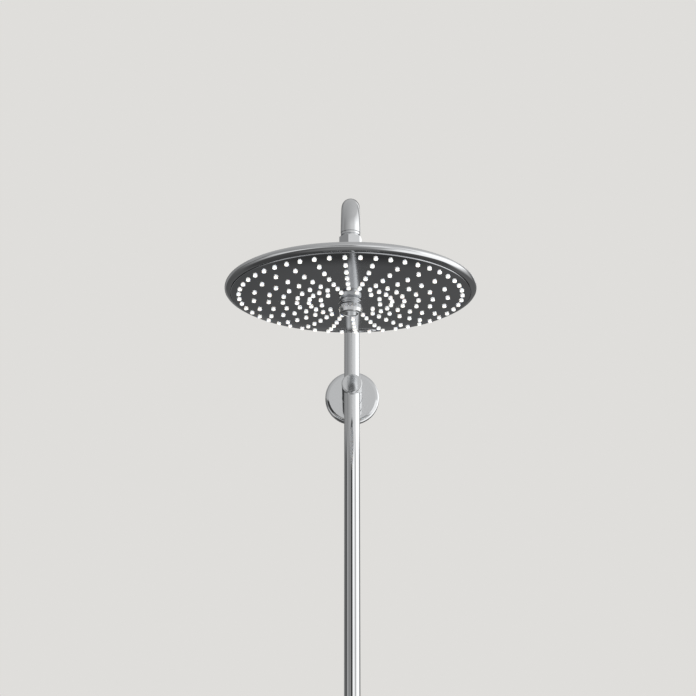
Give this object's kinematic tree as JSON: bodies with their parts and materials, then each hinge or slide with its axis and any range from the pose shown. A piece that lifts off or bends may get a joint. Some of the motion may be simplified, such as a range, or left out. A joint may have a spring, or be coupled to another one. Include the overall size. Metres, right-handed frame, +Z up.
{
  "type": "rainfall shower column",
  "caption": "Wall-mounted shower column: a large round rain head with rubber nozzles on a ball joint, a swivelling arm, a riser and a thermostatic mixer.",
  "frame": {"origin": "centre of the back of the upper wall flange, on the wall plane", "axes": "+Y into the wall, +X to the right for a person facing the wall, +Z up; the head stands out towards -Y"},
  "size_m": [0.3, 0.6, 1.0799],
  "materials": {
    "chrome": "polished chrome plate",
    "face_chrome": "polished dark chrome plate",
    "silicone": "matt moulded silicone",
    "brass": "turned brass",
    "plastic": "moulded acetal",
    "rubber": "moulded rubber",
    "steel": "plain stainless steel",
    "button_grey": "moulded grey plastic"
  },
  "bodies": {
    "column": {"wall_flange": "chrome", "bracket_foot": "brass", "foot_screw_left": "steel", "foot_screw_right": "steel", "riser_bracket": "chrome", "riser_grub_screw": "steel", "arm_grub_screw": "steel", "riser_tube": "chrome", "riser_union_nut": "chrome", "riser_union_washer": "rubber", "mixer_body": "chrome", "thermostatic_cartridge": "brass", "diverter_cartridge": "brass", "thermostatic_stop_ring": "plastic", "diverter_stop_ring": "plastic", "wall_union_left": "chrome", "wall_union_right": "chrome", "escutcheon_left": "chrome", "escutcheon_right": "chrome", "union_nut_left": "chrome", "union_nut_right": "chrome", "strainer_washer_left": "rubber", "strainer_washer_right": "rubber", "hose_outlet": "chrome", "hose_check_valve": "plastic"},
    "arm": {"arm_tube": "chrome", "arm_elbow": "chrome", "elbow_sleeve": "brass", "swivel_spigot": "brass", "swivel_oring_upper": "rubber", "swivel_oring_lower": "rubber", "arm_nipple": "chrome", "arm_strainer_washer": "rubber", "ball_nut": "chrome", "ball_stem": "chrome"},
    "ball_seat_one": {"ball_seat_lower": "plastic"},
    "ball_seat_two": {"ball_seat_upper": "plastic"},
    "head": {"head_shell": "chrome", "socket_collar": "chrome", "socket_seal": "rubber", "distributor_plate": "plastic", "distributor_screw_1": "steel", "distributor_screw_2": "steel", "distributor_screw_3": "steel", "face_seal": "rubber", "nozzle_mat": "silicone", "spray_face": "face_chrome"},
    "temperature_knob": {"temperature_handle": "chrome", "temperature_adapter": "plastic", "temperature_screw": "steel", "temperature_cap": "chrome"},
    "temperature_stop_button": {"temperature_button": "button_grey", "temperature_button_spring": "steel"},
    "flow_knob": {"flow_handle": "chrome", "flow_adapter": "plastic", "flow_screw": "steel", "flow_cap": "chrome"},
    "flow_stop_button": {"flow_button": "button_grey", "flow_button_spring": "steel"}
  },
  "joints": [
    {"name": "arm_swivel", "type": "hinge", "parent": "column", "child": "arm", "pos_m": [0, -0.065, 0], "axis": [0, 0, 1], "range_deg": [-60, 60]},
    {"name": "head_nod", "type": "hinge", "parent": "arm", "child": "ball_seat_one", "pos_m": [0, -0.45, 0.046], "axis": [1, 0, 0], "range_deg": [-15, 15]},
    {"name": "head_lean", "type": "hinge", "parent": "ball_seat_one", "child": "ball_seat_two", "pos_m": [0, -0.45, 0.046], "axis": [0, 1, 0], "range_deg": [-15, 15]},
    {"name": "head_spin", "type": "hinge", "parent": "ball_seat_two", "child": "head", "pos_m": [0, -0.45, 0.046], "axis": [0, 0, 1], "continuous": true},
    {"name": "temperature_turn", "type": "hinge", "parent": "column", "child": "temperature_knob", "pos_m": [0.106, -0.065, -0.9], "axis": [1, 0, 0], "range_deg": [-170, 60]},
    {"name": "temperature_stop_press", "type": "slide", "parent": "temperature_knob", "child": "temperature_stop_button", "axis": [0, 0, -1], "range_m": [0, 0.002], "stiffness_N_per_m": 400, "springref_m": -0.002, "deforming": ["temperature_button_spring"]},
    {"name": "flow_turn", "type": "hinge", "parent": "column", "child": "flow_knob", "pos_m": [-0.106, -0.065, -0.9], "axis": [1, 0, 0], "range_deg": [-90, 90]},
    {"name": "flow_stop_press", "type": "slide", "parent": "flow_knob", "child": "flow_stop_button", "axis": [0, 0, -1], "range_m": [0, 0.002], "stiffness_N_per_m": 400, "springref_m": -0.002, "deforming": ["flow_button_spring"]}
  ]
}
